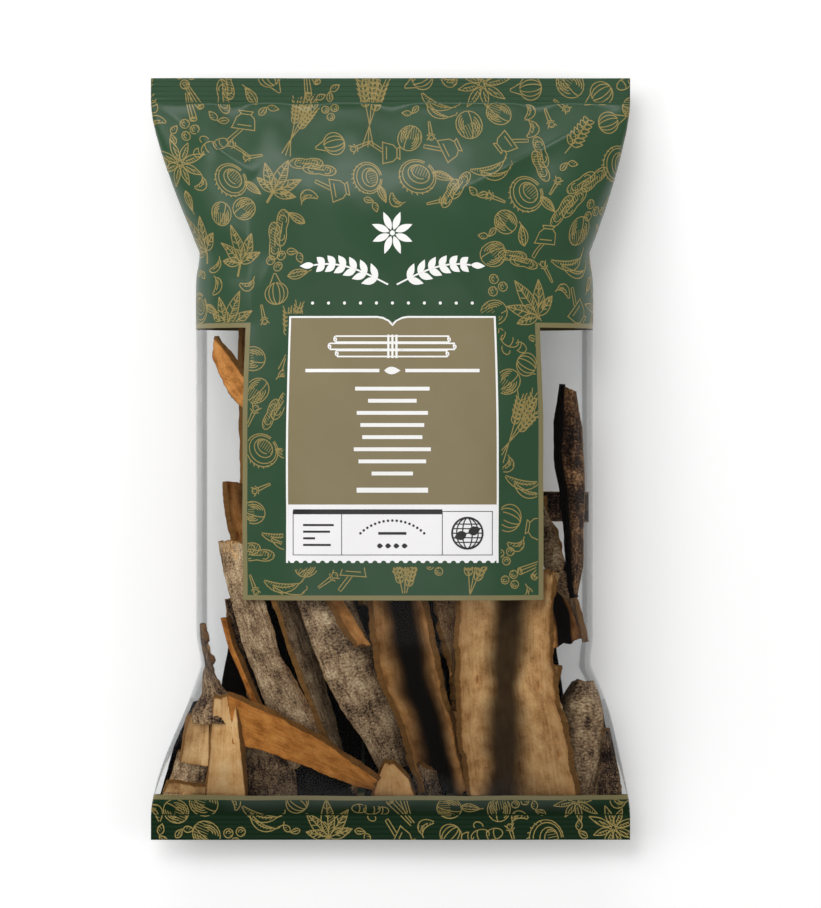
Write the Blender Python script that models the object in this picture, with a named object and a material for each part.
"""A sealed pillow bag of cassia bark, lying on its back with the printed side up.

The bag is one tube of film. It is pressed flat and crimped shut at both ends, and the bark
inside swells it between them. The solid is modelled the same way: a round tube is cut into
rings, and each ring is reshaped into the bag's cross-section at its place along the length.

Units are metres. +X is across the bag, +Y runs to its top seal, +Z is up, and the origin is on
the table under the middle of the bag.
"""

import math

import bmesh
import bpy
from mathutils import Vector

MM = 0.001

# Driving dimensions of the bag.
LENGTH = 206 * MM  # from cut end to cut end
FLAT_WIDTH = 130 * MM  # the tube of film pressed flat, which is the width of the seals
NECK_WIDTH = 104.8 * MM  # the narrowest place, where the flat ears meet the swollen body
BELLY_WIDTH = 106.8 * MM
THICKNESS = 40 * MM  # over the bark, which has settled towards the bottom seal
TOP_SLACK = 4.5 * MM  # the bag is this much thinner above the bark
SLACK_START = 5 * MM  # where it starts to thin, and where it has done
SLACK_END = 62 * MM

# The end seals.
SEAL_DEPTH = 6.5 * MM
SEAL_THICKNESS = 0.8 * MM
SEAL_HEIGHT = 10 * MM  # above the table, because the swollen body lifts them
RIBS = 5  # crimped ridges across each seal
RIB_DEPTH = 0.5 * MM

# How far from a seal each change of shape ends.
EAR_LENGTH = 41 * MM  # the ears narrow from the flat width to the neck
BELLY_REACH = 9 * MM  # the neck widens again to the belly
CROWN_REACH = 52 * MM  # the front climbs to its full height
BACK_REACH = 24 * MM  # the back comes down to the table
SIDE_HEIGHT = 17 * MM  # of the side fold above the table, in the middle of the bag

# The swollen body doesn't hang quite straight between the seals.
BODY_SWAY = 1.1 * MM  # towards +X
LOWER_SWAY = 0.9 * MM  # and this much more beside the lower ears
LOWER_SWAY_AT = -66 * MM
LOWER_SWAY_REACH = 12 * MM

# Roundness of the cross-section: 2 is an ellipse, and more is boxier.
FRONT_ROUNDNESS = 3.4
BACK_ROUNDNESS = 5.0
SEAL_ROUNDNESS = 9.0
BACK_FLATTENING = 1.06  # the back is pressed on the table by this share of its depth

# Mesh density.
SIDES = 64
BODY_ROWS = 44
ROWS_PER_RIB = 2

BODY_HALF = LENGTH / 2 - SEAL_DEPTH

# Folds that the film takes up where it is gathered into a seal: how far across the bag each one
# is, and how wide and how high it stands. A negative height is a hollow.
TOP_GATHERS = (
    (-46 * MM, 7 * MM, 1.0 * MM),
    (-33 * MM, 7 * MM, -1.5 * MM),
    (-21 * MM, 6 * MM, 1.1 * MM),
    (-11 * MM, 6 * MM, -1.3 * MM),
    (3 * MM, 8 * MM, 1.2 * MM),
    (19 * MM, 7 * MM, -1.4 * MM),
    (31 * MM, 6 * MM, 0.9 * MM),
    (43 * MM, 7 * MM, -1.2 * MM),
)
BOTTOM_GATHERS = (
    (-44 * MM, 8 * MM, -1.2 * MM),
    (-28 * MM, 7 * MM, 1.0 * MM),
    (-8 * MM, 9 * MM, -1.0 * MM),
    (14 * MM, 8 * MM, 1.1 * MM),
    (34 * MM, 7 * MM, -1.1 * MM),
)
GATHER_PEAK = 7 * MM  # distance from the seal at which a gather stands highest

# Long folds in the front: start and end in plan, width, height.
FRONT_FOLDS = (
    ((61 * MM, 94 * MM), (18 * MM, 72 * MM), 5 * MM, 1.6 * MM),
    ((-61 * MM, 94 * MM), (-38 * MM, 74 * MM), 5 * MM, 1.5 * MM),
    ((-53 * MM, 57 * MM), (-33 * MM, 52 * MM), 4 * MM, -1.3 * MM),
    ((54 * MM, 57 * MM), (35 * MM, 50 * MM), 4 * MM, -1.3 * MM),
    ((-60 * MM, -92 * MM), (-37 * MM, -62 * MM), 5 * MM, 1.4 * MM),
    ((61 * MM, -93 * MM), (42 * MM, -64 * MM), 5 * MM, 1.4 * MM),
)


def smooth(value):
    """0 below 0, 1 above 1, and an S-curve between."""
    value = min(max(value, 0.0), 1.0)
    return value * value * (3 - 2 * value)


def from_seal(y):
    """Distance from the nearer seal towards the middle; negative inside the seal."""
    return BODY_HALF - abs(y)


def half_width(y):
    distance = max(from_seal(y), 0.0)
    ear = min(distance / EAR_LENGTH, 1.0) ** 1.35
    belly = smooth((distance - EAR_LENGTH) / BELLY_REACH)
    width = FLAT_WIDTH - (FLAT_WIDTH - NECK_WIDTH) * ear + (BELLY_WIDTH - NECK_WIDTH) * belly
    return width / 2


def sway(y):
    """How far the middle of the bag's width lies towards +X."""
    body = BODY_SWAY * smooth(from_seal(y) / EAR_LENGTH)
    return body + LOWER_SWAY * math.exp(-(((y - LOWER_SWAY_AT) / LOWER_SWAY_REACH) ** 2))


def risen(distance, reach, power=2.2):
    """How much of a rise is done at this distance from the seal: steep first, then level."""
    return 1 - (1 - min(max(distance / reach, 0.0), 1.0)) ** power


def levels(y):
    """Height of the back, the side fold and the front over the bag's centre line."""
    distance = from_seal(y)
    side = SEAL_HEIGHT + (SIDE_HEIGHT - SEAL_HEIGHT) * risen(distance, EAR_LENGTH, 1.5)
    crown = THICKNESS - TOP_SLACK * smooth((y - SLACK_START) / (SLACK_END - SLACK_START))
    front = SEAL_HEIGHT + (crown - SEAL_HEIGHT) * risen(distance, CROWN_REACH)
    back = SEAL_HEIGHT * (1 - risen(distance, BACK_REACH, 2.0))
    half_seal = SEAL_THICKNESS / 2
    return min(back, side - half_seal), side, max(front, side + half_seal)


def bulge(across, roundness):
    """Height of a section from 0 at its side to 1 over its middle; across runs from -1 to 1."""
    return math.sqrt(max(1 - abs(across) ** roundness, 0.0))


def roundness_at(y, full):
    """The seal is a flat strip, the ears are a thin lens, and the body is boxier again."""
    distance = from_seal(y)
    if distance <= 0:
        return SEAL_ROUNDNESS
    return 2 + (full - 2) * smooth(distance / EAR_LENGTH)


def gathers(x, y):
    """Height that the gathers beside a seal add to the front."""
    distance = from_seal(y)
    if distance <= 0:
        return 0.0
    reach = distance / GATHER_PEAK
    strength = reach * math.exp(1 - reach)
    folds = TOP_GATHERS if y > 0 else BOTTOM_GATHERS
    return strength * sum(height * math.exp(-(((x - at) / width) ** 2)) for at, width, height in folds)


def front_folds(x, y):
    """Height that the long folds add to the front: a ridge along each line, fading at its ends."""
    total = 0.0
    for start, end, width, height in FRONT_FOLDS:
        line = Vector(end) - Vector(start)
        offset = Vector((x, y)) - Vector(start)
        along = offset.dot(line) / line.length_squared
        if 0 < along < 1:
            aside = (offset.x * line.y - offset.y * line.x) / line.length
            total += height * math.sin(math.pi * along) * math.exp(-((aside / width) ** 2))
    return total


def ribs(y):
    """Height of the crimped zigzag in a seal: both layers of film move up and down together."""
    into_seal = -from_seal(y)
    if into_seal <= 0:
        return 0.0
    pitch = SEAL_DEPTH / RIBS
    phase = (into_seal / pitch) % 1.0
    return RIB_DEPTH * (0.5 - abs(phase - 0.5))


def section_point(angle, y):
    """A point of the bag's surface: angle 0 is the right side fold, a quarter turn is the front."""
    back, side, front = levels(y)
    across = math.cos(angle)
    x = sway(y) + across * half_width(y)
    if math.sin(angle) >= 0:
        lift = bulge(across, roundness_at(y, FRONT_ROUNDNESS))
        z = side + (front - side) * lift
        z += min(lift, 1.0) * (gathers(x, y) + front_folds(x, y))
    else:
        lift = min(bulge(across, roundness_at(y, BACK_ROUNDNESS)) * BACK_FLATTENING, 1.0)
        z = side - (side - back) * lift
    return Vector((x, y, max(z + ribs(y), 0.0)))


def row_places():
    """Y of every ring: two to a rib in the seals, and closer together near the seals in the body."""
    rib_rows = RIBS * ROWS_PER_RIB
    seal = [LENGTH / 2 - SEAL_DEPTH * row / rib_rows for row in range(rib_rows)]
    body = [BODY_HALF * math.cos(math.pi * row / BODY_ROWS) for row in range(BODY_ROWS + 1)]
    return seal + body + [-y for y in reversed(seal)]


def bag_mesh():
    """The round tube, one ring of vertices for each row, reshaped ring by ring."""
    places = row_places()
    bm = bmesh.new()
    bmesh.ops.create_cone(
        bm, cap_ends=True, cap_tris=False, segments=SIDES, radius1=1, radius2=1, depth=2
    )
    lengthwise = [e for e in bm.edges if abs(e.verts[0].co.z - e.verts[1].co.z) > 1]
    bmesh.ops.subdivide_edges(bm, edges=lengthwise, cuts=len(places) - 2)
    for vertex in bm.verts:
        row = round((1 - vertex.co.z) / 2 * (len(places) - 1))
        angle = math.atan2(vertex.co.y, vertex.co.x)
        vertex.co = section_point(angle, places[row])
    bmesh.ops.recalc_face_normals(bm, faces=bm.faces)
    mesh = bpy.data.meshes.new("bag")
    bm.to_mesh(mesh)
    bm.free()
    mesh.shade_smooth()
    mesh.set_sharp_from_angle(angle=math.radians(50))
    return mesh


def printed_film():
    """Deep green gravure ink on glossy polypropylene film."""
    material = bpy.data.materials.new("printed_film")
    material.use_nodes = True
    surface = material.node_tree.nodes["Principled BSDF"]
    surface.inputs["Base Color"].default_value = (0.02, 0.07, 0.03, 1)
    surface.inputs["Roughness"].default_value = 0.3
    surface.inputs["Metallic"].default_value = 0.0
    return material


def build():
    for leftover in list(bpy.data.objects):
        bpy.data.objects.remove(leftover)
    pack = bpy.data.collections.new("cassia_bark_bag")
    bpy.context.scene.collection.children.link(pack)
    bag = bpy.data.objects.new("bag", bag_mesh())
    bag.data.materials.append(printed_film())
    pack.objects.link(bag)


build()
